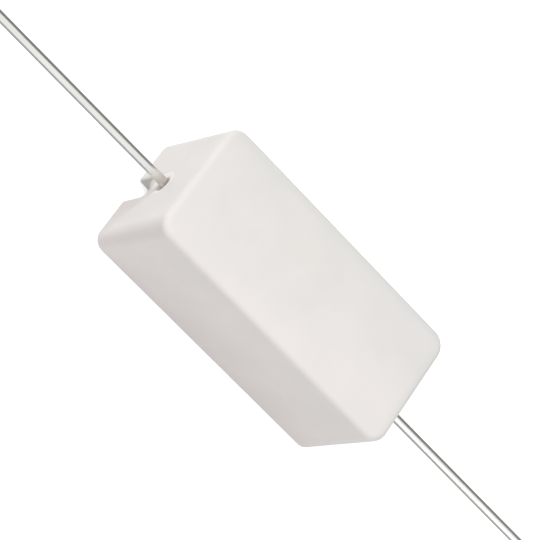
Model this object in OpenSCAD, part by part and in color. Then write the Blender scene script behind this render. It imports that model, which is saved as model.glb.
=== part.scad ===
// Wirewound power resistor with axial leads, in an open ceramic case filled with cement.
// Millimetres. The leads run along X. The part lies on the open rim of its case, closed face up.
// The origin is at the middle of the rim plane.

/* [Case] */
// Length of the case, along the leads
case_length = 22; // [20:0.5:30]
// Width of the case
case_width = 9.5; // [8.8:0.1:13]
// Height of the case, from the open rim to the closed face
case_height = 9; // [8.6:0.1:13]
// Thickness of the two long walls at the rim
side_wall = 1.15; // [0.8:0.05:1.4]
// Thickness of the two end walls at the rim
end_wall = 1.1; // [0.8:0.05:1.6]
// Thickness of the closed face
roof = 1.2; // [0.8:0.05:1.4]
// Radius of the four upright corners
corner_radius = 1.25; // [0.8:0.05:2]
// Radius of the edges round the closed face
closed_edge_radius = 0.45; // [0.2:0.05:0.7]
// Radius of the outer edge of the rim
rim_radius = 0.3; // [0.1:0.05:0.5]

/* [Cavity] */
// Radius of the upright corners of the cavity, at the rim
cavity_corner = 1.1; // [0.9:0.05:1.5]
// Fillet between the cavity's walls and the inside of the roof
cavity_fillet = 0.6; // [0.3:0.05:0.65]
// Draft of the cavity's walls, in degrees
cavity_draft = 1.5; // [0.5:0.25:2]
// Width of the lead slot in each end wall
slot_width = 1.8; // [1.4:0.1:2.6]
// Chamfer round the mouth of each slot
slot_chamfer = 0.3; // [0.05:0.05:0.4]

/* [Cement] */
// Depth of the cement's surface inside the rim
cement_recess = 0.35; // [0.1:0.05:0.8]
// How far the cement's surface falls away from the rim in each slot
slot_slump = 1.3; // [0.3:0.1:1.6]
// Depth of the cement behind the end face at the foot of that fall
slot_recess = 0.7; // [0.3:0.05:0.75]
// Depth of the cement behind the end face from the lead to the closed end of the slot
slot_film = 0.1; // [0.05:0.05:0.2]

/* [Element] */
// Cement left between each cup and its end wall
end_cover = 0.9; // [0.8:0.05:2]
// Cement left round the winding where it is widest, on the cups
element_cover = 0.7; // [0.4:0.05:1.2]
// Thickness of the cups' sheet
cup_wall = 0.3; // [0.2:0.05:0.35]
// Outer length of each cup
cup_depth = 2.2; // [1.5:0.1:3.5]
// Radius of the closed edge of each cup
cup_edge_radius = 0.3; // [0.1:0.05:0.4]
// Diameter of the resistance wire
wire_diameter = 0.25; // [0.1:0.01:0.3]
// Distance between two turns of the winding
wire_pitch = 0.75; // [0.5:0.05:1.2]

/* [Leads] */
// Diameter of the tinned lead wire
lead_diameter = 0.7; // [0.5:0.05:0.9]
// Length of each lead outside the case
lead_length = 35; // [10:1:40]
// Thickness of the tin that the free lead is dipped in
tin_coat = 0.02; // [0.01:0.01:0.05]
// Distance outside the case at which the tin reaches its full thickness
tin_start = 0.9; // [0.4:0.1:2]
// Diameter of the weld foot on the cup
weld_diameter = 1.4; // [1.1:0.1:1.6]
// Height of the weld foot
weld_height = 0.45; // [0.35:0.05:0.7]
// Chamfer of the cut end of each lead
cut_chamfer = 0.08; // [0.02:0.02:0.15]

/* [Fits] */
// Gap between the cement and what it surrounds or fills
bond_gap = 0.02; // [0.01:0.01:0.05]
// Gap between the core and what is pressed or wound on it
fit_gap = 0.01; // [0.01:0.01:0.03]

/* [Hidden] */
$fn = 64;

// How far a cut runs past the face that it opens
overrun = 1;
// Straight steps in one turn of the winding, and sides of the wire
turn_steps = 20;
wire_sides = 6;

cavity_depth = case_height - roof;
wire_radius = wire_diameter / 2;
lead_radius = lead_diameter / 2;
bare_radius = lead_radius - tin_coat;
weld_radius = weld_diameter / 2;

// The leads leave the case in the middle of its height
lead_height = case_height / 2;

// The element fills the narrowest way out from the leads' axis, less its cover of cement
room_above = cavity_depth - lead_height;
room_below = lead_height - cement_recess;
room_beside = case_width / 2 - side_wall - cavity_depth * tan(cavity_draft);
winding_radius = min(room_above, room_below, room_beside) - element_cover;
cup_radius = (winding_radius - wire_radius) * cos(180 / turn_steps) - wire_radius - fit_gap;
cup_bore = cup_radius - cup_wall;
core_radius = cup_bore - fit_gap;

// Places along the leads, measured from the middle of the case
cup_face = case_length / 2 - end_wall - end_cover;
cup_mouth = cup_face - cup_depth;
core_end = cup_face - cup_wall;
lead_end = case_length / 2 + lead_length;

// The wire climbs onto each cup in one turn and ends one turn further on
climb_start = cup_mouth - wire_pitch;
wire_end = cup_mouth + wire_pitch;
wire_steps = round(2 * wire_end / wire_pitch * turn_steps);

function ease(t) = let (u = min(1, max(0, t))) u * u * (3 - 2 * u);

// Radius of the surface that the wire lies on, at a place along the element
function wire_seat(x) =
    core_radius + (cup_radius - core_radius) * ease((abs(x) - climb_start) / wire_pitch);

// Radius of the winding's path. The straight steps clear the round seat at their middles
function wire_path(x) = (wire_seat(x) + fit_gap + wire_radius) / cos(180 / turn_steps);

function wire_ring(i) =
    let (
        x = -wire_end + 2 * wire_end * i / wire_steps,
        turn = 360 * i / turn_steps,
        path = wire_path(x)
    )
    [for (k = [0 : wire_sides - 1])
        let (
            side = 360 * k / wire_sides,
            out = path + wire_radius * cos(side)
        )
        [x + wire_radius * sin(side), out * cos(turn), out * sin(turn)]
    ];

// Puts +Z of its children along the leads, at the height of the leads
module on_lead_axis() {
    translate([0, 0, lead_height])
        rotate([0, 90, 0])
            children();
}

// The side that is given, or its mirror image at the left end
module at_left() {
    mirror([1, 0, 0])
        children();
}

// Upright section of the outside of the case, as far as reach on both sides of its middle
module outer_section(reach) {
    rim_x = reach - rim_radius;
    top_x = reach - closed_edge_radius;
    top_z = case_height - closed_edge_radius;
    right = [
        [rim_x, 0], [rim_x, rim_radius], [reach, rim_radius],
        [reach, top_z], [top_x, top_z], [top_x, case_height]
    ];
    left = [for (i = [len(right) - 1 : -1 : 0]) [-right[i][0], right[i][1]]];
    polygon(concat(right, left));
    for (side = [-1, 1]) {
        translate([side * rim_x, rim_radius])
            circle(rim_radius);
        translate([side * top_x, top_z])
            circle(closed_edge_radius);
    }
}

// Upright section of the cavity, with its draft and its fillets
module cavity_section(reach, gap) {
    lean = tan(cavity_draft);
    fillet_z = cavity_depth - gap - cavity_fillet;
    fillet_x = reach - fillet_z * lean - cavity_fillet / cos(cavity_draft);
    right = [
        [reach + overrun * lean, -overrun],
        [
            fillet_x + cavity_fillet * cos(cavity_draft),
            fillet_z + cavity_fillet * sin(cavity_draft)
        ],
        [fillet_x, fillet_z],
        [fillet_x, fillet_z + cavity_fillet]
    ];
    left = [for (i = [len(right) - 1 : -1 : 0]) [-right[i][0], right[i][1]]];
    polygon(concat(right, left));
    for (side = [-1, 1])
        translate([side * fillet_x, fillet_z])
            circle(cavity_fillet);
}

// Plan of the cavity at the rim, with its round corners
module cavity_plan(reach_x, reach_y, corner) {
    square([2 * reach_x, 2 * (reach_y - corner)], center = true);
    square([2 * (reach_x - corner), 2 * reach_y], center = true);
    for (sx = [-1, 1], sy = [-1, 1])
        translate([sx * (reach_x - corner), sy * (reach_y - corner)])
            circle(corner);
}

// The half of a section that a corner is turned from
module right_half(reach) {
    intersection() {
        children();
        translate([0, -overrun])
            square([reach + 2 * overrun, case_height + 2 * overrun]);
    }
}

module outer_block() {
    rotate([90, 0, 90])
        linear_extrude(case_length - 2 * corner_radius, center = true)
            outer_section(case_width / 2);
    rotate([90, 0, 0])
        linear_extrude(case_width - 2 * corner_radius, center = true)
            outer_section(case_length / 2);
    for (sx = [-1, 1], sy = [-1, 1])
        translate([sx * (case_length / 2 - corner_radius), sy * (case_width / 2 - corner_radius), 0])
            rotate_extrude()
                right_half(corner_radius)
                    outer_section(corner_radius);
}

// The space inside the case, made smaller all round by gap
module cavity_block(gap) {
    reach_x = case_length / 2 - end_wall - gap;
    reach_y = case_width / 2 - side_wall - gap;
    intersection() {
        rotate([90, 0, 90])
            linear_extrude(case_length, center = true)
                cavity_section(reach_y, gap);
        rotate([90, 0, 0])
            linear_extrude(case_width, center = true)
                cavity_section(reach_x, gap);
        translate([0, 0, -overrun])
            linear_extrude(case_height)
                cavity_plan(reach_x, reach_y, cavity_corner - gap);
    }
}

// A bar with the slots' shape: open below, and round about the lead above
module slot_bar(width, run) {
    rotate([90, 0, 90])
        linear_extrude(run, center = true) {
            translate([0, lead_height])
                circle(d = width);
            translate([-width / 2, -overrun])
                square([width, lead_height + overrun]);
        }
}

// Chamfer round the mouth of the right slot
module slot_mouth() {
    inner = case_length / 2 - slot_chamfer;
    outer = case_length / 2 + overrun;
    narrow = slot_width / 2;
    wide = narrow + slot_chamfer + overrun;
    translate([0, 0, -overrun])
        linear_extrude(lead_height + overrun)
            polygon([[inner, -narrow], [outer, -wide], [outer, wide], [inner, narrow]]);
    on_lead_axis()
        translate([0, 0, inner])
            cylinder(h = outer - inner, r1 = narrow, r2 = wide);
}

module ceramic_case() {
    color([0.93, 0.91, 0.9])
        difference() {
            outer_block();
            cavity_block(0);
            slot_bar(slot_width, case_length + 2 * overrun);
            slot_mouth();
            at_left()
                slot_mouth();
        }
}

// The cement in both slots. It was poured from the open side and slumped towards the closed ends
module slot_cement() {
    outside = case_length / 2;
    shoulder_z = cement_recess + slot_slump;
    right = [
        [outside - end_wall, cement_recess], [outside - slot_recess, shoulder_z],
        [outside - slot_film, lead_height], [outside - slot_film, case_height]
    ];
    left = [for (i = [len(right) - 1 : -1 : 0]) [-right[i][0], right[i][1]]];
    intersection() {
        slot_bar(slot_width - 2 * bond_gap, case_length);
        rotate([90, 0, 0])
            linear_extrude(case_width, center = true)
                polygon(concat(right, left));
    }
}

// Everything inside the cement, with bond_gap round it
module element_space() {
    wound = wire_path(0) + wire_radius + bond_gap;
    capped = winding_radius + bond_gap;
    on_lead_axis() {
        cylinder(h = 2 * climb_start + 2 * wire_pitch, r = wound, center = true);
        for (side = [0, 1])
            mirror([0, 0, side]) {
                translate([0, 0, climb_start - wire_radius])
                    cylinder(h = cup_face + bond_gap - climb_start + wire_radius, r = capped);
                cylinder(h = cup_face + weld_height + bond_gap, r = weld_radius + bond_gap);
            }
        cylinder(h = 2 * lead_end, r = lead_radius + bond_gap, center = true);
    }
}

module cement_fill() {
    color([0.9, 0.89, 0.86])
        difference() {
            union() {
                cavity_block(bond_gap);
                slot_cement();
            }
            translate([-case_length / 2, -case_width / 2, -2 * overrun])
                cube([case_length, case_width, cement_recess + 2 * overrun]);
            element_space();
        }
}

module element_core() {
    color([0.88, 0.84, 0.76])
        on_lead_axis()
            cylinder(h = 2 * core_end, r = core_radius, center = true);
}

module resistance_wire() {
    points = [for (i = [0 : wire_steps]) each wire_ring(i)];
    last = wire_steps * wire_sides;
    walls = [
        for (i = [0 : wire_steps - 1], k = [0 : wire_sides - 1])
            let (
                next = (k + 1) % wire_sides,
                a = i * wire_sides + k,
                b = i * wire_sides + next
            )
            each [[a, b, a + wire_sides], [b, b + wire_sides, a + wire_sides]]
    ];
    ends = [
        for (k = [1 : wire_sides - 2])
            each [[0, k + 1, k], [last, last + k, last + k + 1]]
    ];
    color([0.5, 0.47, 0.44])
        translate([0, 0, lead_height])
            polyhedron(points, concat(walls, ends));
}

// The right cup, pressed over the end of the core
module end_cup() {
    edge_x = cup_radius - cup_edge_radius;
    edge_z = cup_depth - cup_edge_radius;
    color([0.72, 0.72, 0.7])
        on_lead_axis()
            translate([0, 0, cup_mouth])
                rotate_extrude()
                    difference() {
                        union() {
                            square([edge_x, cup_depth]);
                            square([cup_radius, edge_z]);
                            intersection() {
                                translate([edge_x, edge_z])
                                    circle(cup_edge_radius);
                                square([cup_radius, cup_depth]);
                            }
                        }
                        translate([0, -overrun])
                            square([cup_bore, cup_depth - cup_wall + overrun]);
                    }
}

// The right lead, butt-welded to its cup. The heat of the weld drew the tin back from its root,
// so the tin thins out all the way from the full thickness to the bare weld
module lead() {
    long = lead_end - cup_face;
    full_tin = long - lead_length + tin_start;
    color([0.78, 0.78, 0.77])
        on_lead_axis()
            translate([0, 0, cup_face])
                rotate_extrude() {
                    polygon([
                        [0, 0], [bare_radius, 0], [bare_radius, weld_height],
                        [lead_radius, full_tin], [lead_radius, long - cut_chamfer],
                        [lead_radius - cut_chamfer, long], [0, long]
                    ]);
                    difference() {
                        square([weld_radius, weld_height]);
                        translate([weld_radius, weld_height])
                            circle(weld_radius - bare_radius);
                    }
                }
}

ceramic_case();
cement_fill();
element_core();
resistance_wire();
at_left() end_cup();  // end_cup_left
end_cup();  // end_cup_right
at_left() lead();  // lead_left
lead();  // lead_right
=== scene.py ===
import math

import bmesh
import bpy
from mathutils import Euler, Matrix, Vector, noise


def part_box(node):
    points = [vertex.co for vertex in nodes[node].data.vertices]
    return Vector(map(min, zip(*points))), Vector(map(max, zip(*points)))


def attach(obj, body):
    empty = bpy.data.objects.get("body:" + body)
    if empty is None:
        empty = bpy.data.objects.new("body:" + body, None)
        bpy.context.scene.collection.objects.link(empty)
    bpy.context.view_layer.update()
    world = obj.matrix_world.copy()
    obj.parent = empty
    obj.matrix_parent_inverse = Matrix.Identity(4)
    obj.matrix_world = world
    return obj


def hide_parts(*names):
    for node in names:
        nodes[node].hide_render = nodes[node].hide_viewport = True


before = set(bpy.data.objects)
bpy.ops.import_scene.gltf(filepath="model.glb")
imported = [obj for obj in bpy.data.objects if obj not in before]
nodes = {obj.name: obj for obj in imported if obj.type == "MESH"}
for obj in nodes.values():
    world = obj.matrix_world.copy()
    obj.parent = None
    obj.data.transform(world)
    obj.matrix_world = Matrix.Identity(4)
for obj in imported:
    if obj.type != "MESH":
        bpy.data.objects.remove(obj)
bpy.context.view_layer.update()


# Core rod. An extruded ceramic rod, fired and ground round, that carries the winding.
# It is sealed in the cement, so the solid of the frame stays and takes its finish here.

MM = 0.001


def colour(hex_code):
    """Turns an sRGB hex colour into a linear one."""
    levels = [int(hex_code[i:i + 2], 16) / 255 for i in (1, 3, 5)]
    return [c / 12.92 if c <= 0.04045 else ((c + 0.055) / 1.055) ** 2.4 for c in levels] + [1]


def add(tree, kind, settings=None, links=None):
    """Adds a node with its properties or socket values, and links its inputs."""
    made = tree.nodes.new(kind)
    for name, value in (settings or {}).items():
        if isinstance(name, int) or name in made.inputs:
            made.inputs[name].default_value = value
        else:
            setattr(made, name, value)
    for name, source in (links or {}).items():
        tree.links.new(source, made.inputs[name])
    return made


def new_finish(name):
    """An empty material, with its node tree and its output."""
    material = bpy.data.materials.new(name)
    material.use_nodes = True
    material.node_tree.nodes.clear()
    output = material.node_tree.nodes.new("ShaderNodeOutputMaterial")
    return material, material.node_tree, output


def dress(node_name, material):
    """Gives a node of the frame its finish."""
    for slot in nodes[node_name].material_slots:
        slot.material = material


def ground_ceramic_rod():
    """Fired aluminosilicate rod, off-white and matt, with fine grinding marks round it."""
    material, tree, output = new_finish("ground_ceramic_rod")
    place = add(tree, "ShaderNodeTexCoord")
    mark_width = 0.12 * MM
    mark_length = 2.4 * MM
    mark_depth = 0.01 * MM
    stretch = mark_width / mark_length
    rings = add(tree, "ShaderNodeMapping", {"Scale": (1.0, stretch, stretch)},
                {"Vector": place.outputs["Object"]})
    marks = add(tree, "ShaderNodeTexNoise", {"Scale": 1 / mark_width, "Detail": 3.0},
                {"Vector": rings.outputs["Vector"]})
    relief = add(tree, "ShaderNodeBump", {"Strength": 0.3, "Distance": mark_depth},
                 {"Height": marks.outputs["Fac"]})
    tint = add(tree, "ShaderNodeMix", {"data_type": "RGBA", 6: colour("#DDD3BF"), 7: colour("#E9E1D0")},
               {0: marks.outputs["Fac"]})
    shader = add(tree, "ShaderNodeBsdfPrincipled", {"Roughness": 0.75, "IOR": 1.6},
                 {"Base Color": tint.outputs[2], "Normal": relief.outputs["Normal"]})
    tree.links.new(shader.outputs["BSDF"], output.inputs["Surface"])
    return material


dress("element_core", ground_ceramic_rod())


# End cups. Cups pressed from tinned steel sheet and forced over the ends of the rod.
# They hold the ends of the winding and the leads. The solids of the frame stay.


def tinned_steel_sheet():
    """Deep-drawn steel with a thin tin plating: satin grey with faint drawing marks."""
    material, tree, output = new_finish("tinned_steel_sheet")
    place = add(tree, "ShaderNodeTexCoord")
    mark_width = 0.05 * MM
    mark_length = 1.0 * MM
    mark_depth = 0.004 * MM
    along = add(tree, "ShaderNodeMapping", {"Scale": (mark_width / mark_length, 1.0, 1.0)},
                {"Vector": place.outputs["Object"]})
    marks = add(tree, "ShaderNodeTexNoise", {"Scale": 1 / mark_width, "Detail": 2.0},
                {"Vector": along.outputs["Vector"]})
    relief = add(tree, "ShaderNodeBump", {"Strength": 0.2, "Distance": mark_depth},
                 {"Height": marks.outputs["Fac"]})
    tint = add(tree, "ShaderNodeMix", {"data_type": "RGBA", 6: colour("#B4B3AE"), 7: colour("#CFCEC9")},
               {0: marks.outputs["Fac"]})
    shader = add(tree, "ShaderNodeBsdfPrincipled", {"Metallic": 1.0, "Roughness": 0.32},
                 {"Base Color": tint.outputs[2], "Normal": relief.outputs["Normal"]})
    tree.links.new(shader.outputs["BSDF"], output.inputs["Surface"])
    return material


tinned_sheet = tinned_steel_sheet()
dress("end_cup_left", tinned_sheet)
dress("end_cup_right", tinned_sheet)


# Winding. Bare drawn resistance alloy, wound on the rod with open turns.
# Its ends lie on the cups, to which they are spot-welded. The solid of the frame stays.


def drawn_resistance_alloy():
    """Nickel-chromium wire, annealed: warm grey with a thin uneven oxide."""
    material, tree, output = new_finish("drawn_resistance_alloy")
    place = add(tree, "ShaderNodeTexCoord")
    oxide_patch = 0.6 * MM
    patches = add(tree, "ShaderNodeTexNoise", {"Scale": 1 / oxide_patch, "Detail": 3.0},
                  {"Vector": place.outputs["Object"]})
    tint = add(tree, "ShaderNodeMix", {"data_type": "RGBA", 6: colour("#6E665E"), 7: colour("#9A938A")},
               {0: patches.outputs["Fac"]})
    shader = add(tree, "ShaderNodeBsdfPrincipled", {"Metallic": 1.0, "Roughness": 0.4},
                 {"Base Color": tint.outputs[2]})
    tree.links.new(shader.outputs["BSDF"], output.inputs["Surface"])
    return material


dress("resistance_wire", drawn_resistance_alloy())


# Leads. Copper wire dipped in tin, 0.7 mm thick, butt-welded to the cups, so its root spreads
# to a foot. The heat of the weld drew the tin back, so it thins out from just outside the case.
# The root is brown, partly as bare copper and partly as painted shade from the slot.
# Each lead is a profile turned about the wire's axis, in millimetres.

lead_low, lead_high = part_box("lead_right")
lead_height = (lead_low.z + lead_high.z) / 2 / MM
lead_foot_x = lead_low.x / MM
lead_tip_x = lead_high.x / MM
case_low, case_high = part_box("ceramic_case")
case_end_x = case_high.x / MM

LEAD_RADIUS = 0.35
TIN_COAT = 0.02
TIN_START = 0.9
BARE_AND_SHADED_START = 0.3
WELD_RADIUS = 0.7
WELD_HEIGHT = 0.45
WELD_STEPS = 6
CUT_CHAMFER = 0.08
LEAD_SIDES = 48
LEAD_STEP = 0.5
MERGE_GAP = 0.0005
SMOOTH_ANGLE = math.radians(40)


def make_piece(name, mesh_mm, material, replaced):
    """Turns a bmesh in millimetres into a piece in metres, in the place of a solid of the frame."""
    bmesh.ops.scale(mesh_mm, vec=(MM, MM, MM), verts=mesh_mm.verts)
    mesh = bpy.data.meshes.new(name)
    mesh_mm.to_mesh(mesh)
    mesh_mm.free()
    for polygon in mesh.polygons:
        polygon.use_smooth = True
    mesh.set_sharp_from_angle(angle=SMOOTH_ANGLE)
    mesh.materials.append(material)
    piece = bpy.data.objects.new(name, mesh)
    bpy.context.scene.collection.objects.link(piece)
    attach(piece, "root")
    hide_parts(replaced)
    return piece


def tin_dipped_wire():
    """Hot-dipped tin on copper wire: bright, with long ripples, and brown at the root, partly as bare
    copper and partly as painted shade.
    """
    material, tree, output = new_finish("tin_dipped_wire")
    place = add(tree, "ShaderNodeTexCoord")
    ripple_width = 0.3 * MM
    ripple_length = 2.5 * MM
    ripple_depth = 0.01 * MM
    along = add(tree, "ShaderNodeMapping", {"Scale": (ripple_width / ripple_length, 1.0, 1.0)},
                {"Vector": place.outputs["Object"]})
    ripples = add(tree, "ShaderNodeTexNoise", {"Scale": 1 / ripple_width, "Detail": 2.0},
                  {"Vector": along.outputs["Vector"]})
    relief = add(tree, "ShaderNodeBump", {"Strength": 0.25, "Distance": ripple_depth},
                 {"Height": ripples.outputs["Fac"]})
    tin = add(tree, "ShaderNodeMix", {"data_type": "RGBA", 6: colour("#E2E2DF"), 7: colour("#EEEEEB")},
              {0: ripples.outputs["Fac"]})
    axes = add(tree, "ShaderNodeSeparateXYZ", {}, {"Vector": place.outputs["Object"]})
    from_middle = add(tree, "ShaderNodeMath", {"operation": "ABSOLUTE"}, {0: axes.outputs["X"]})
    root = add(tree, "ShaderNodeMapRange",
               {"From Min": (case_end_x + TIN_START) * MM, "From Max": (case_end_x + BARE_AND_SHADED_START) * MM},
               {"Value": from_middle.outputs[0]})
    # Partly painted shade: the root's brown stands both for bare copper and for the slot's shade on it.
    tint = add(tree, "ShaderNodeMix", {"data_type": "RGBA", 7: colour("#D2CBC6")},
               {0: root.outputs["Result"], 6: tin.outputs[2]})
    dullness = add(tree, "ShaderNodeMapRange", {"To Min": 0.2, "To Max": 0.24},
                   {"Value": root.outputs["Result"]})
    shader = add(tree, "ShaderNodeBsdfPrincipled", {"Metallic": 1.0},
                 {"Base Color": tint.outputs[2], "Roughness": dullness.outputs["Result"],
                  "Normal": relief.outputs["Normal"]})
    tree.links.new(shader.outputs["BSDF"], output.inputs["Surface"])
    return material


def lead_profile():
    """Half outline of the right lead, as places along the wire and radii, from foot to tip.

    Even steps along the wire keep its faces short.
    """
    fillet = WELD_RADIUS - (LEAD_RADIUS - TIN_COAT)
    outline = [(lead_foot_x, 0.0), (lead_foot_x, WELD_RADIUS)]
    for step in range(WELD_STEPS + 1):
        turn = math.pi / 2 * step / WELD_STEPS
        outline.append((lead_foot_x + WELD_HEIGHT - fillet * math.cos(turn),
                        WELD_RADIUS - fillet * math.sin(turn)))
    place = case_end_x + TIN_START
    while place < lead_tip_x - CUT_CHAMFER:
        outline.append((place, LEAD_RADIUS))
        place += LEAD_STEP
    outline.append((lead_tip_x - CUT_CHAMFER, LEAD_RADIUS))
    outline.append((lead_tip_x, LEAD_RADIUS - CUT_CHAMFER))
    outline.append((lead_tip_x, 0.0))
    return outline


def turned_lead():
    """Spins the profile about the wire's axis."""
    bm = bmesh.new()
    path = [bm.verts.new((x, radius, lead_height)) for x, radius in lead_profile()]
    for here, after in zip(path, path[1:]):
        bm.edges.new((here, after))
    bmesh.ops.spin(bm, geom=bm.verts[:] + bm.edges[:], cent=(0, 0, lead_height), axis=(1, 0, 0),
                   angle=math.tau, steps=LEAD_SIDES, use_merge=True)
    bmesh.ops.remove_doubles(bm, verts=bm.verts, dist=MERGE_GAP)
    bmesh.ops.recalc_face_normals(bm, faces=bm.faces)
    return bm


tinned_wire = tin_dipped_wire()
make_piece("lead_wire_right", turned_lead(), tinned_wire, "lead_right")
left_wire = turned_lead()
bmesh.ops.scale(left_wire, vec=(-1, 1, 1), verts=left_wire.verts)
bmesh.ops.recalc_face_normals(left_wire, faces=left_wire.faces)
make_piece("lead_wire_left", left_wire, tinned_wire, "lead_left")


# Case. A trough dry-pressed from white ceramic powder and fired, without a glaze. Its upright
# corners are wide, a little less so at the rim, and the edges of its closed face are tighter.
# A U slot in each end wall lets the lead in. Every other edge is softened by tumbling.

CASE_LENGTH = (case_high.x - case_low.x) / MM
CASE_WIDTH = (case_high.y - case_low.y) / MM
CASE_HEIGHT = (case_high.z - case_low.z) / MM
SIDE_WALL = 1.15
END_WALL = 1.1
ROOF = 1.2
CORNER_RADIUS = 1.25
CORNER_SEGMENTS = 12
RIM_CORNER_RADIUS = 0.95
CLOSED_EDGE_RADIUS = 0.45
CLOSED_EDGE_SEGMENTS = 6
TUMBLED_RADIUS = 0.3
TUMBLED_SEGMENTS = 4
TUMBLED_ANGLE = math.radians(35)
CAVITY_CORNER = 1.1
CAVITY_CORNER_SEGMENTS = 8
CAVITY_FILLET = 0.6
CAVITY_FILLET_SEGMENTS = 5
CAVITY_DRAFT = math.radians(1.5)
SLOT_WIDTH = 1.8
SLOT_SEGMENTS = 12
OVERRUN = 1.0
NEAR = 0.001
ALIGNED = 0.99


def block(low, high):
    """A rectangular block between two corners."""
    bm = bmesh.new()
    bmesh.ops.create_cube(bm, size=1.0)
    low, high = Vector(low), Vector(high)
    bmesh.ops.scale(bm, vec=high - low, verts=bm.verts)
    bmesh.ops.translate(bm, vec=(low + high) / 2, verts=bm.verts)
    return bm


def soften(bm, edges, radius, segments):
    """Rounds those edges."""
    bmesh.ops.bevel(bm, geom=edges, offset=radius, offset_type="OFFSET", segments=segments,
                    profile=0.5, affect="EDGES", clamp_overlap=True, material=-1)


def edges_along(bm, axis):
    """The edges that run along one axis, or nearly so."""
    return [e for e in bm.edges if abs((e.verts[0].co - e.verts[1].co).normalized()[axis]) > ALIGNED]


def edges_at_height(bm, height):
    """The edges that lie at one height."""
    return [e for e in bm.edges if all(abs(v.co.z - height) < NEAR for v in e.verts)]


def cavity_form(gap):
    """The drafted space inside the case, made smaller all round by a gap."""
    reach_x = CASE_LENGTH / 2 - END_WALL - gap
    reach_y = CASE_WIDTH / 2 - SIDE_WALL - gap
    depth = CASE_HEIGHT - ROOF - gap
    lean = math.tan(CAVITY_DRAFT)
    bm = block((-reach_x, -reach_y, -OVERRUN), (reach_x, reach_y, depth))
    for height in (-OVERRUN, depth):
        level = [v for v in bm.verts if abs(v.co.z - height) < NEAR]
        bmesh.ops.scale(bm, verts=level, vec=(1 - height * lean / reach_x,
                                              1 - height * lean / reach_y, 1))
    soften(bm, edges_along(bm, 2), CAVITY_CORNER - gap, CAVITY_CORNER_SEGMENTS)
    soften(bm, edges_at_height(bm, depth), CAVITY_FILLET, CAVITY_FILLET_SEGMENTS)
    return bm


def slot_form():
    """A bar with both slots' shape: open below and round about the lead above."""
    radius = SLOT_WIDTH / 2
    reach = CASE_LENGTH / 2 + OVERRUN
    bm = block((-reach, -radius, -OVERRUN), (reach, radius, lead_height + radius))
    soften(bm, [e for e in edges_along(bm, 0) if e.verts[0].co.z > 0], radius, SLOT_SEGMENTS)
    bmesh.ops.remove_doubles(bm, verts=bm.verts, dist=MERGE_GAP)
    return bm


def combine(body, tools):
    """Joins meshes to a body or cuts them out of it, each as told, by exact booleans."""
    made = []
    for bm in [body] + [tool for tool, _ in tools]:
        mesh = bpy.data.meshes.new("tool")
        bm.to_mesh(mesh)
        bm.free()
        made.append(bpy.data.objects.new("tool", mesh))
        bpy.context.scene.collection.objects.link(made[-1])
    for tool, (_, operation) in zip(made[1:], tools):
        step = made[0].modifiers.new("step", "BOOLEAN")
        step.operation = operation
        step.solver = "EXACT"
        step.object = tool
    result = bmesh.new()
    result.from_object(made[0], bpy.context.evaluated_depsgraph_get())
    for tool in made:
        mesh = tool.data
        bpy.data.objects.remove(tool)
        bpy.data.meshes.remove(mesh)
    bmesh.ops.remove_doubles(result, verts=result.verts, dist=MERGE_GAP)
    bmesh.ops.dissolve_degenerate(result, edges=result.edges, dist=MERGE_GAP)
    return result


def sharp_edges(bm, angle):
    """The edges at which two faces meet at more than an angle."""
    return [e for e in bm.edges if len(e.link_faces) == 2 and e.calc_face_angle() > angle]


def tighten_rim_corners(bm):
    """Gives the upright corners their smaller radius at the rim."""
    centre_x = CASE_LENGTH / 2 - CORNER_RADIUS
    centre_y = CASE_WIDTH / 2 - CORNER_RADIUS
    change = CORNER_RADIUS - RIM_CORNER_RADIUS
    share = RIM_CORNER_RADIUS / CORNER_RADIUS
    for vert in bm.verts:
        over_x = abs(vert.co.x) - centre_x
        over_y = abs(vert.co.y) - centre_y
        if vert.co.z < NEAR and min(over_x, over_y) > -NEAR:
            vert.co.x = math.copysign(centre_x + change + over_x * share, vert.co.x)
            vert.co.y = math.copysign(centre_y + change + over_y * share, vert.co.y)


def pressed_trough():
    """The whole case as one closed shell."""
    bm = block((-CASE_LENGTH / 2, -CASE_WIDTH / 2, 0), (CASE_LENGTH / 2, CASE_WIDTH / 2, CASE_HEIGHT))
    soften(bm, edges_along(bm, 2), CORNER_RADIUS, CORNER_SEGMENTS)
    tighten_rim_corners(bm)
    soften(bm, edges_at_height(bm, CASE_HEIGHT), CLOSED_EDGE_RADIUS, CLOSED_EDGE_SEGMENTS)
    bm = combine(bm, [(cavity_form(0), "DIFFERENCE"), (slot_form(), "DIFFERENCE")])
    soften(bm, sharp_edges(bm, TUMBLED_ANGLE), TUMBLED_RADIUS, TUMBLED_SEGMENTS)
    return bm


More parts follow.
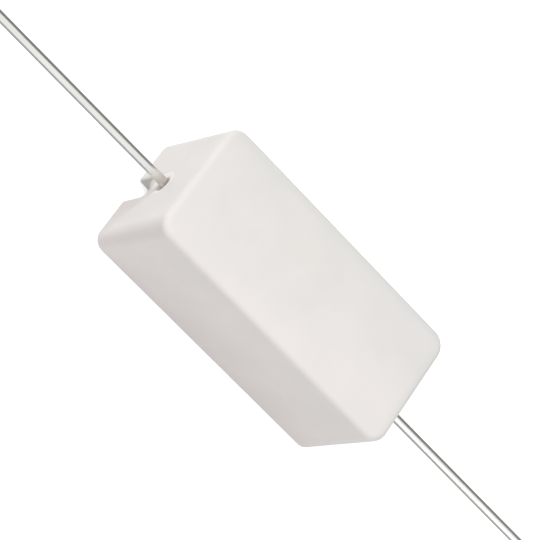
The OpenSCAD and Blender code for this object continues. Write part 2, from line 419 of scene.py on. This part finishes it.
def fired_white_with_painted_shade(tree, place, axes):
    """Warm white in faint clouds, with painted shade: greyer upwards, to the far side and along the right
    and far edges.
    """
    cloud_size = 4.5 * MM
    cloud_pattern = 20.8
    # Painted shade: the colour greys towards the far side and upwards, so it is lighter low down and on
    # the near side.
    painted_shade_slope = Vector((0.0, -0.053, -0.02)) / MM
    # Painted shade along the right and far edges: the colour greys over their last 0.9 mm.
    shaded_edge_start = 0.9
    shaded_edge_full = 0.4
    face_warmth = 0.16
    edge_painted_shade = -0.2
    clouds = add(tree, "ShaderNodeTexNoise",
                 {"noise_dimensions": "4D", "W": cloud_pattern, "Scale": 1 / cloud_size, "Detail": 3.0,
                  "Roughness": 0.5}, {"Vector": place.outputs["Object"]})
    painted_shade_drift = add(tree, "ShaderNodeVectorMath", {"operation": "DOT_PRODUCT", 1: painted_shade_slope},
                {0: place.outputs["Object"]})
    clouds_and_painted_shade = add(tree, "ShaderNodeMath", {"operation": "ADD"},
                  {0: clouds.outputs["Fac"], 1: painted_shade_drift.outputs["Value"]})
    # Painted shade: greyer towards the right end and the far side.
    edges = [add(tree, "ShaderNodeMapRange",
                 {"From Min": (size / 2 - shaded_edge_start) * MM, "From Max": (size / 2 - shaded_edge_full) * MM,
                  "To Min": face_warmth, "To Max": edge_painted_shade}, {"Value": axes.outputs[axis]})
             for axis, size in (("X", CASE_LENGTH), ("Y", CASE_WIDTH))]
    either_painted_edge = add(tree, "ShaderNodeMath", {"operation": "MINIMUM"},
                      {0: edges[0].outputs["Result"], 1: edges[1].outputs["Result"]})
    tone_and_painted_shade = add(tree, "ShaderNodeMath", {"operation": "ADD"},
                 {0: clouds_and_painted_shade.outputs[0], 1: either_painted_edge.outputs[0]})
    white = add(tree, "ShaderNodeMix", {"data_type": "RGBA", 6: colour("#E2E1DD"), 7: colour("#F5EEEB")},
                {0: tone_and_painted_shade.outputs[0]})
    return white.outputs[2]


def slot_wall_painted_shade(tree, axes):
    """The share of painted shade at each place: only the slots' walls in the end walls have it, greyed
    where shade falls in the slots.
    """
    # Painted shade: the slots' walls are greyed, most at their faces.
    shade_start = 0.1
    shade_full = 0.01
    shade_strength = 0.3
    over_lead = add(tree, "ShaderNodeMath",
                    {"operation": "SUBTRACT", "use_clamp": True, 1: lead_height * MM},
                    {0: axes.outputs["Z"]})
    in_section = add(tree, "ShaderNodeCombineXYZ", {}, {"X": axes.outputs["Y"], "Y": over_lead.outputs[0]})
    from_slot = add(tree, "ShaderNodeVectorMath", {"operation": "LENGTH"},
                    {0: in_section.outputs["Vector"]})
    on_wall = add(tree, "ShaderNodeMapRange",
                  {"From Min": (SLOT_WIDTH / 2 + shade_start) * MM,
                   "From Max": (SLOT_WIDTH / 2 + shade_full) * MM, "To Max": shade_strength},
                  {"Value": from_slot.outputs["Value"]})
    from_middle = add(tree, "ShaderNodeMath", {"operation": "ABSOLUTE"}, {0: axes.outputs["X"]})
    in_end_wall = add(tree, "ShaderNodeMath",
                      {"operation": "GREATER_THAN", 1: (CASE_LENGTH / 2 - END_WALL) * MM},
                      {0: from_middle.outputs[0]})
    wall_shade = add(tree, "ShaderNodeMath", {"operation": "MULTIPLY"},
                {0: on_wall.outputs["Result"], 1: in_end_wall.outputs[0]})
    return wall_shade.outputs[0]


def pressed_white_ceramic():
    """Unglazed fired ceramic: warm white and matt, with a powdery grain and grey painted shade on the
    slots' walls.
    """
    material, tree, output = new_finish("pressed_white_ceramic")
    place = add(tree, "ShaderNodeTexCoord")
    grain_size = 0.09 * MM
    grain_depth = 0.012 * MM
    axes = add(tree, "ShaderNodeSeparateXYZ", {}, {"Vector": place.outputs["Object"]})
    grain = add(tree, "ShaderNodeTexNoise", {"Scale": 1 / grain_size, "Detail": 2.0},
                {"Vector": place.outputs["Object"]})
    relief = add(tree, "ShaderNodeBump", {"Strength": 0.35, "Distance": grain_depth},
                 {"Height": grain.outputs["Fac"]})
    # Painted shade: this grey is mixed in on the slots' walls.
    tint = add(tree, "ShaderNodeMix", {"data_type": "RGBA", 7: colour("#8B8A86")},
               {0: slot_wall_painted_shade(tree, axes), 6: fired_white_with_painted_shade(tree, place, axes)})
    shader = add(tree, "ShaderNodeBsdfPrincipled", {"Roughness": 0.62, "IOR": 1.5},
                 {"Base Color": tint.outputs[2], "Normal": relief.outputs["Normal"]})
    tree.links.new(shader.outputs["BSDF"], output.inputs["Surface"])
    return material


case = make_piece("pressed_case", pressed_trough(), pressed_white_ceramic(), "ceramic_case")
even_normals = case.modifiers.new("even_normals", "WEIGHTED_NORMAL")
even_normals.keep_sharp = True


# Cement. A white silica cement, poured round the element from the open side and baked.
# It fills the trough. In the slots it slumped towards their closed ends before it set, so
# there it hangs back from the rim, is flush beside the lead and has drawn back round the lead.

CEMENT_RECESS = 0.35
SLOT_SLUMP = 1.3
SLOT_RECESS = 0.7
SLOT_FLUSH = 0.015
SLUMP_SAG = 1.0
SLUMP_LENGTH = 0.9
SHRINK_PIT = 0.9
SHRINK_WIDTH = 0.15
SHRINK_SIDE = -0.15
BOND_GAP = 0.02
GRID_STEP = 0.35
SLOT_GRID_STEP = 0.08
CLIMB = 0.22
CLIMB_WIDTH = 0.22
UNEVEN = 0.05
UNEVEN_SIZE = 1.1
SLOT_UNEVEN = 0.03
SLOT_UNEVEN_SIZE = 0.37


def element_space():
    """The room that the winding, cups, weld feet and leads take in the cement."""
    cup_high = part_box("end_cup_right")[1]
    wound_low, wound_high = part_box("resistance_wire")
    wound_radius = (wound_high.z - wound_low.z) / 2 / MM
    steps = [(cup_high.x / MM + BOND_GAP, wound_radius + BOND_GAP),
             (lead_foot_x + WELD_HEIGHT + BOND_GAP, WELD_RADIUS + BOND_GAP),
             (case_end_x + OVERRUN, LEAD_RADIUS + BOND_GAP)]
    forms = []
    for reach, radius in steps:
        bm = bmesh.new()
        bmesh.ops.create_cone(bm, cap_ends=True, segments=LEAD_SIDES, radius1=radius,
                              radius2=radius, depth=2 * reach)
        bmesh.ops.rotate(bm, verts=bm.verts, matrix=Matrix.Rotation(math.pi / 2, 3, "Y"))
        bmesh.ops.translate(bm, verts=bm.verts, vec=(0, 0, lead_height))
        forms.append((bm, "DIFFERENCE"))
    return forms


def cross_cut(bm, faces, axis, step):
    """Cuts those faces into strips across one axis."""
    normal = [0, 0, 0]
    normal[axis] = 1
    values = [v.co[axis] for f in faces for v in f.verts]
    smallest_strip = step / 4
    place = min(values) + step
    while place < max(values) - smallest_strip:
        geometry = set(faces) | {e for f in faces for e in f.edges} | {v for f in faces for v in f.verts}
        cut = bmesh.ops.bisect_plane(bm, geom=list(geometry), dist=MERGE_GAP,
                                     plane_co=[place * n for n in normal], plane_no=normal)
        new_faces = {f for f in cut["geom"] if isinstance(f, bmesh.types.BMFace)}
        faces = list(new_faces | {f for f in faces if f.is_valid})
        place += step
    return faces


def slumped_depth(y, z):
    """How far the cement's face in a slot lies behind the end face.

    Below its shoulder the face falls back to the cavity, and above it comes out until it is flush.
    It clings lower down to the slot's walls, is a little uneven and has a pit beside the lead.
    """
    shoulder = CEMENT_RECESS + SLOT_SLUMP
    level = z + SLUMP_SAG * (2 * y / SLOT_WIDTH) ** 2
    if level < shoulder:
        depth = SLOT_RECESS + (END_WALL - SLOT_RECESS) * (shoulder - level) / SLOT_SLUMP
    else:
        depth = SLOT_FLUSH + (SLOT_RECESS - SLOT_FLUSH) * math.exp((shoulder - level) / SLUMP_LENGTH)
    depth += SLOT_UNEVEN * min(depth / SLOT_RECESS, 1) * noise.noise(Vector((0, y, z)) / SLOT_UNEVEN_SIZE)
    from_lead = math.hypot(y - SHRINK_SIDE, z - lead_height) - LEAD_RADIUS
    return depth + SHRINK_PIT * math.exp(-(max(from_lead, 0) / SHRINK_WIDTH) ** 2)


def slot_cement(side):
    """The cement at one end, as wide as the slot's rounded mouth, with its slumped face."""
    reach_y = SLOT_WIDTH / 2 + TUMBLED_RADIUS
    inside = side * (CASE_LENGTH / 2 - END_WALL - OVERRUN)
    outside = side * CASE_LENGTH / 2
    bm = block((min(inside, outside), -reach_y, 0), (max(inside, outside), reach_y, lead_height + reach_y))
    front = [f for f in bm.faces if side * f.normal.x > ALIGNED]
    front = cross_cut(bm, front, 1, SLOT_GRID_STEP)
    front = cross_cut(bm, front, 2, SLOT_GRID_STEP)
    bmesh.ops.triangulate(bm, faces=front)
    for vert in bm.verts:
        if abs(vert.co.x - outside) < NEAR:
            vert.co.x = side * (CASE_LENGTH / 2 - slumped_depth(vert.co.y, vert.co.z))
    return bm


def poured_cement():
    """The whole filling, with its surface and its two slot faces left as they were poured."""
    trough = bmesh.new()
    trough.from_mesh(case.data)
    bmesh.ops.scale(trough, vec=(1 / MM, 1 / MM, 1 / MM), verts=trough.verts)
    below = block((-CASE_LENGTH, -CASE_WIDTH, -2 * OVERRUN), (CASE_LENGTH, CASE_WIDTH, CEMENT_RECESS))
    tools = [(slot_cement(-1), "UNION"), (slot_cement(1), "UNION"), (below, "DIFFERENCE"),
             (trough, "DIFFERENCE")] + element_space()
    bm = combine(cavity_form(BOND_GAP), tools)
    surface = [f for f in bm.faces if all(abs(v.co.z - CEMENT_RECESS) < NEAR for v in f.verts)]
    surface = cross_cut(bm, surface, 0, GRID_STEP)
    cross_cut(bm, surface, 1, GRID_STEP)
    reach_x = CASE_LENGTH / 2 - END_WALL - BOND_GAP
    reach_y = CASE_WIDTH / 2 - SIDE_WALL - BOND_GAP
    for vert in bm.verts:
        if abs(vert.co.z - CEMENT_RECESS) < NEAR:
            to_side = reach_y - abs(vert.co.y)
            to_end = reach_x - abs(vert.co.x) if abs(vert.co.y) > SLOT_WIDTH / 2 else to_side
            to_wall = max(min(to_side, to_end), 0)
            climb = CLIMB * math.exp(-to_wall / CLIMB_WIDTH)
            vert.co.z += UNEVEN * noise.noise(vert.co / UNEVEN_SIZE) - climb
    return bm


def poured_silica_cement():
    """Baked silica cement: chalky, faintly pink white, with sand grain and small pores."""
    material, tree, output = new_finish("poured_silica_cement")
    place = add(tree, "ShaderNodeTexCoord")
    sand_size = 0.16 * MM
    sand_depth = 0.03 * MM
    pore_spacing = 0.7 * MM
    pore_depth = 0.06 * MM
    pore_floor = 0.08
    pore_rim = 0.2
    sand = add(tree, "ShaderNodeTexNoise", {"Scale": 1 / sand_size, "Detail": 3.0, "Roughness": 0.6},
               {"Vector": place.outputs["Object"]})
    pores = add(tree, "ShaderNodeTexVoronoi", {"Scale": 1 / pore_spacing},
                {"Vector": place.outputs["Object"]})
    pits = add(tree, "ShaderNodeMapRange", {"From Min": pore_floor, "From Max": pore_rim},
               {"Value": pores.outputs["Distance"]})
    grain = add(tree, "ShaderNodeBump", {"Strength": 0.5, "Distance": sand_depth},
                {"Height": sand.outputs["Fac"]})
    relief = add(tree, "ShaderNodeBump", {"Strength": 0.8, "Distance": pore_depth},
                 {"Height": pits.outputs["Result"], "Normal": grain.outputs["Normal"]})
    tint = add(tree, "ShaderNodeMix", {"data_type": "RGBA", 6: colour("#F0EDEA"), 7: colour("#FBF8F5")},
               {0: sand.outputs["Fac"]})
    shader = add(tree, "ShaderNodeBsdfPrincipled", {"Roughness": 0.9, "IOR": 1.45},
                 {"Base Color": tint.outputs[2], "Normal": relief.outputs["Normal"]})
    tree.links.new(shader.outputs["BSDF"], output.inputs["Surface"])
    return material


make_piece("poured_filling", poured_cement(), poured_silica_cement(), "cement_fill")


# Table and light. A plain white table top under an even white sky, as in a light tent.
# A soft lamp stands on each side of the camera: the stronger beyond the left end, and a weaker
# one by the right end of the near side. The table and the sky look white, also in the metal.

TABLE_REACH = 800 * MM
TABLE_SQUARES = 8
TABLE_LIFT = 0.6
SKY_LEVEL = 0.52


def seen_directly(tree):
    """1 for what the camera sees, straight or in the metal, and 0 for what only lights the part."""
    rays = add(tree, "ShaderNodeLightPath")
    seen = add(tree, "ShaderNodeMath", {"operation": "ADD"},
               {0: rays.outputs["Is Camera Ray"], 1: rays.outputs["Is Glossy Ray"]})
    seen = add(tree, "ShaderNodeMath", {"operation": "ADD", "use_clamp": True},
               {0: seen.outputs[0], 1: rays.outputs["Is Transmission Ray"]})
    return seen.outputs[0]


def white_table_top():
    """Matt white paper: it takes the part's shadow and otherwise shows as plain white."""
    material, tree, output = new_finish("white_table_top")
    lift = add(tree, "ShaderNodeMath", {"operation": "MULTIPLY", 1: TABLE_LIFT}, {0: seen_directly(tree)})
    shader = add(tree, "ShaderNodeBsdfPrincipled",
                 {"Base Color": colour("#E1E1E1"), "Roughness": 0.9, "Emission Color": colour("#FFFFFF")},
                 {"Emission Strength": lift.outputs[0]})
    tree.links.new(shader.outputs["BSDF"], output.inputs["Surface"])
    return material


def even_white_sky():
    """A sky that is plain white where it is seen and lights the part less than that."""
    world = bpy.data.worlds.new("even_sky")
    world.use_nodes = True
    tree = world.node_tree
    tree.nodes.clear()
    level = add(tree, "ShaderNodeMapRange", {"To Min": SKY_LEVEL, "To Max": 1.0},
                {"Value": seen_directly(tree)})
    light = add(tree, "ShaderNodeBackground", {"Color": colour("#FFFFFF")},
                {"Strength": level.outputs["Result"]})
    add(tree, "ShaderNodeOutputWorld", {}, {"Surface": light.outputs["Background"]})
    return world


def soft_lamp(name, towards, distance, size, level):
    """A round lamp. Level is what it adds on a white face turned to it, where 1 is white."""
    data = bpy.data.lights.new(name, "AREA")
    data.shape = "DISK"
    data.size = size
    data.energy = level * math.pi ** 2 * distance ** 2
    lamp = bpy.data.objects.new(name, data)
    lamp.location = Vector(towards).normalized() * distance
    lamp.rotation_euler = lamp.location.to_track_quat("Z", "Y").to_euler()
    bpy.context.scene.collection.objects.link(lamp)


table_mesh = bmesh.new()
bmesh.ops.create_grid(table_mesh, x_segments=TABLE_SQUARES, y_segments=TABLE_SQUARES, size=TABLE_REACH)
table_data = bpy.data.meshes.new("table_top")
table_mesh.to_mesh(table_data)
table_mesh.free()
table_data.materials.append(white_table_top())
table_top = bpy.data.objects.new("table_top", table_data)
bpy.context.scene.collection.objects.link(table_top)

bpy.context.scene.world = even_white_sky()

soft_lamp("left_lamp", towards=(-0.61, 0.38, 0.69), distance=400 * MM, size=240 * MM, level=0.53)
soft_lamp("right_lamp", towards=(0.58, -0.60, 0.55), distance=250 * MM, size=100 * MM, level=0.235)


# Cards. Two glowing grey strips along the part, which only the bright metal sees: painted reflections.
# One stands behind the leads and one lies before them, and they give the leads dark edges.

CARD_REACH = 200 * MM
DARK_CARD_HEIGHT = 90 * MM
DARK_CARD_Y = 30 * MM
GREY_CARD_WIDTH = 60 * MM
GREY_CARD_EDGE_Y = -0.5 * MM
GREY_CARD_LIFT = 0.1 * MM


def painted_reflection_card(name, hex_code, width, tilt, middle):
    """A glowing card as long as the leads and more, tilted about the part's length: a painted reflection.
    """
    material, tree, output = new_finish(name + "_painted_reflection")
    # Painted reflection: the card glows with its own colour and is seen only in the metal.
    shader = add(tree, "ShaderNodeEmission", {"Color": colour(hex_code), "Strength": 1.0})
    tree.links.new(shader.outputs["Emission"], output.inputs["Surface"])
    bm = bmesh.new()
    bmesh.ops.create_grid(bm, x_segments=1, y_segments=1, size=0.5)
    bmesh.ops.scale(bm, verts=bm.verts, vec=(2 * CARD_REACH, width, 1))
    bmesh.ops.rotate(bm, verts=bm.verts, matrix=Matrix.Rotation(tilt, 3, "X"))
    bmesh.ops.translate(bm, verts=bm.verts, vec=middle)
    mesh = bpy.data.meshes.new(name)
    bm.to_mesh(mesh)
    bm.free()
    mesh.materials.append(material)
    card = bpy.data.objects.new(name, mesh)
    bpy.context.scene.collection.objects.link(card)
    card.visible_camera = False
    card.visible_diffuse = False
    card.visible_shadow = False


# The dark card paints a dim room behind the leads, and the grey one paints the shaded table before them.
painted_reflection_card("dark_card", "#8C8C8C", DARK_CARD_HEIGHT, math.pi / 2, (0, DARK_CARD_Y, DARK_CARD_HEIGHT / 2))
painted_reflection_card("grey_card", "#B4B4B4", GREY_CARD_WIDTH, 0.0,
           (0, GREY_CARD_EDGE_Y - GREY_CARD_WIDTH / 2, GREY_CARD_LIFT))


# Camera. It looks down on the closed face from the left end and the near side.
# It is turned on its side, so the part runs from the upper left to the lower right.

AZIMUTH = math.radians(-39.19)
ELEVATION = math.radians(57.07)
ROLL = math.radians(-79.97)
DISTANCE = 162.91 * MM
AIM = Vector((-1.157, 1.038, 4.579)) * MM
SENSOR_WIDTH = 36.0
FOCAL_LENGTH = 160.0
NEAREST_SEEN = 10 * MM

camera_data = bpy.data.cameras.new("camera")
camera_data.sensor_width = SENSOR_WIDTH
camera_data.lens = FOCAL_LENGTH
camera_data.clip_start = NEAREST_SEEN
camera = bpy.data.objects.new("camera", camera_data)
facing = Euler((math.pi / 2 - ELEVATION, 0, AZIMUTH)).to_matrix() @ Matrix.Rotation(-ROLL, 3, "Z")
camera.matrix_world = Matrix.Translation(AIM + facing @ Vector((0, 0, DISTANCE))) @ facing.to_4x4()
bpy.context.scene.collection.objects.link(camera)
bpy.context.scene.camera = camera

bpy.context.scene.view_settings.view_transform = "Standard"
